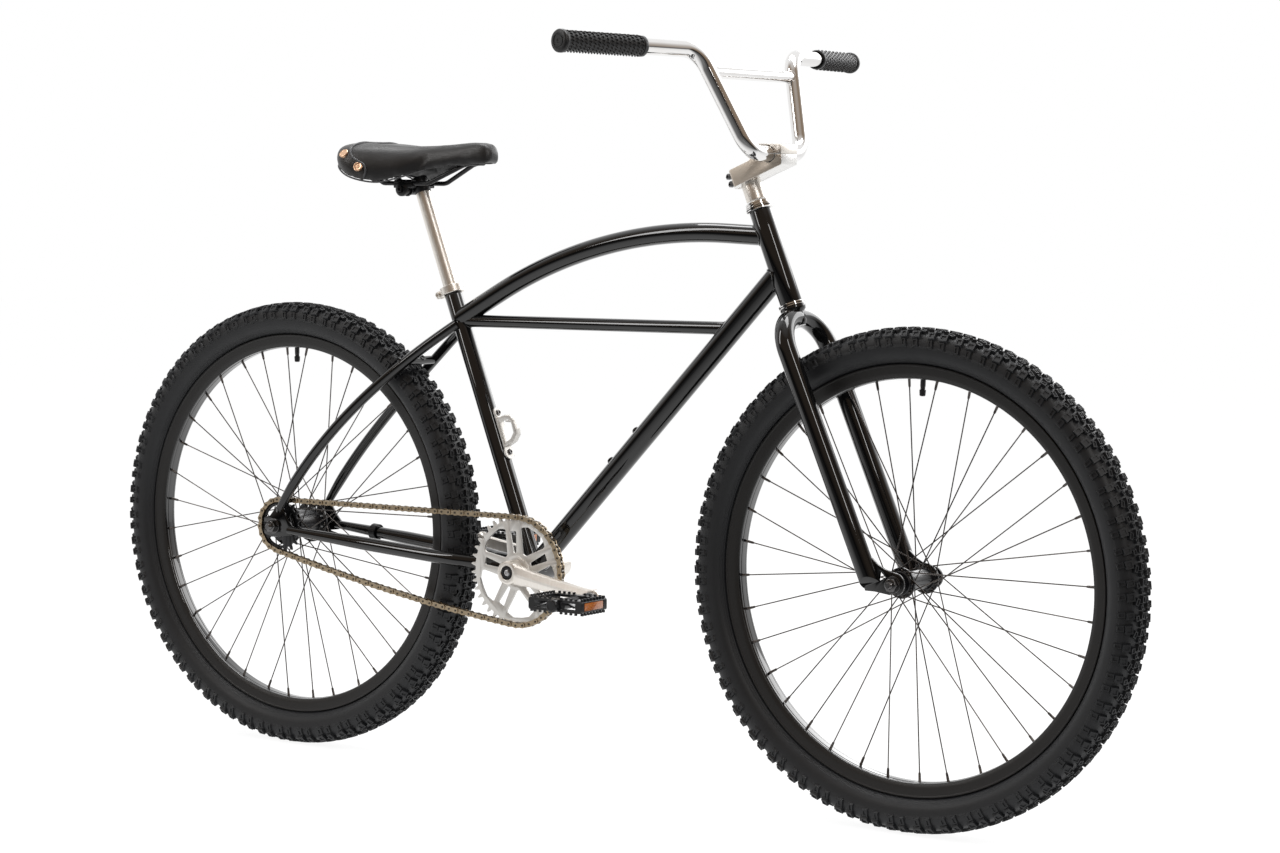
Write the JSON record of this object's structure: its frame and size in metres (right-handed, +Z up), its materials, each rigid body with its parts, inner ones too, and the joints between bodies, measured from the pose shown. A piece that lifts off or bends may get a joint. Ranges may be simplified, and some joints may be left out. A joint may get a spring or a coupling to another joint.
{
  "type": "single-speed bicycle",
  "caption": "Cruiser bicycle with an arched top tube, a riser handlebar with a crossbar, a quill stem, a coaster brake, a roller chain drive and knobbly tyres on spoked wheels.",
  "frame": {"origin": "on the ground, halfway between the two wheels and in the frame's middle plane", "axes": "+X is the direction of travel, +Y the rider's left, +Z up; the steering is straight and the right crank points forwards"},
  "size_m": [1.817, 0.7562, 1.0917],
  "materials": {
    "black_paint": "glossy black enamel",
    "chrome": "mirror plated",
    "polished_alloy": "polished, slightly brushed",
    "black_metal": "satin black",
    "chain_steel": "brown oiled plates",
    "steel": "zinc plated",
    "rubber": "matt black",
    "tyre": "matt black, knobbly",
    "leather": "smooth satin cover",
    "resin": "moulded, matt"
  },
  "bodies": {
    "frame": {"head_tube": "black_paint", "top_tube": "black_paint", "down_tube": "black_paint", "mid_tube": "black_paint", "seat_tube": "black_paint", "bottom_bracket_shell": "black_paint", "chainstay_right": "black_paint", "chainstay_left": "black_paint", "seatstay_right": "black_paint", "seatstay_left": "black_paint", "seatstay_bridge": "black_paint", "chainstay_bridge": "black_paint", "headset_upper_cup": "chrome", "headset_lower_cup": "chrome", "seat_collar": "polished_alloy", "bottle_opener": "black_metal", "bb_cup_right": "steel", "bb_cup_left": "steel", "rear_axle": "steel", "rear_axle_nut_right": "chrome", "rear_axle_nut_left": "chrome", "brake_arm": "steel", "brake_strap": "steel", "chain": "chain_steel"},
    "fork": {"fork": "black_paint", "headset_locknut": "chrome", "front_axle": "steel", "front_axle_nut_right": "chrome", "front_axle_nut_left": "chrome"},
    "stem": {"stem_quill": "polished_alloy", "stem_body": "polished_alloy", "stem_cap": "polished_alloy"},
    "handlebar": {"handlebar": "chrome", "grip_right": "rubber", "grip_left": "rubber"},
    "seat_post": {"seat_post": "polished_alloy", "seat_clamp_sleeve": "black_metal"},
    "saddle": {"saddle_rails": "black_metal", "saddle_clamp": "black_metal", "saddle_base": "resin", "saddle_pad": "leather"},
    "front_wheel": {"front_hub_shell": "black_metal", "front_rim": "black_paint", "front_tyre": "tyre", "front_inner_tube": "rubber"},
    "rear_wheel": {"rear_hub_shell": "black_metal", "rear_rim": "black_paint", "rear_tyre": "tyre", "rear_inner_tube": "rubber"},
    "driver": {"rear_sprocket": "steel"},
    "crank": {"chainring": "chrome", "crank_spindle": "steel", "crank_right": "polished_alloy", "crank_left": "polished_alloy", "crank_bolt_right": "chrome", "crank_bolt_left": "chrome", "pedal_axle_right": "steel", "pedal_axle_left": "steel"},
    "pedal_right": {"pedal_body_right": "resin"},
    "pedal_left": {"pedal_body_left": "resin"}
  },
  "joints": [
    {"name": "steering", "type": "hinge", "parent": "frame", "child": "fork", "pos_m": [0.32702, 0, 0.79003], "axis": [-0.3843, 0, 0.9232], "range_deg": [-80, 80]},
    {"name": "stem_height", "type": "slide", "parent": "fork", "child": "stem", "axis": [-0.3843, 0, 0.9232], "range_m": [0, 0.035]},
    {"name": "bar_tilt", "type": "hinge", "parent": "stem", "child": "handlebar", "pos_m": [0.32497, 0, 0.93444], "axis": [0, 1, 0], "range_deg": [-15, 15]},
    {"name": "front_wheel_spin", "type": "hinge", "parent": "fork", "child": "front_wheel", "pos_m": [0.5585, 0, 0.35], "axis": [0, 1, 0], "continuous": true},
    {"name": "rear_wheel_spin", "type": "hinge", "parent": "frame", "child": "rear_wheel", "pos_m": [-0.5585, 0, 0.35], "axis": [0, 1, 0], "continuous": true},
    {"name": "crank_spin", "type": "hinge", "parent": "frame", "child": "crank", "pos_m": [-0.09184, 0, 0.3146], "axis": [0, 1, 0], "continuous": true, "deforming": ["chain"]},
    {"name": "driver_spin", "type": "hinge", "parent": "frame", "child": "driver", "pos_m": [-0.5585, 0, 0.35], "axis": [0, 1, 0], "continuous": true},
    {"name": "pedal_right_spin", "type": "hinge", "parent": "crank", "child": "pedal_right", "pos_m": [0.0767, 0, 0.29241], "axis": [0, 1, 0], "continuous": true},
    {"name": "pedal_left_spin", "type": "hinge", "parent": "crank", "child": "pedal_left", "pos_m": [-0.26039, 0, 0.33679], "axis": [0, 1, 0], "continuous": true},
    {"name": "seat_height", "type": "slide", "parent": "frame", "child": "seat_post", "axis": [-0.3633, 0, 0.9317], "range_m": [-0.12, 0.07]},
    {"name": "saddle_tilt", "type": "hinge", "parent": "seat_post", "child": "saddle", "pos_m": [-0.32928, 0, 0.87954], "axis": [0, 1, 0], "range_deg": [-15, 15]}
  ],
  "couplings": [
    {"joint": "driver_spin", "follows": "crank_spin", "ratio": 2}
  ]
}
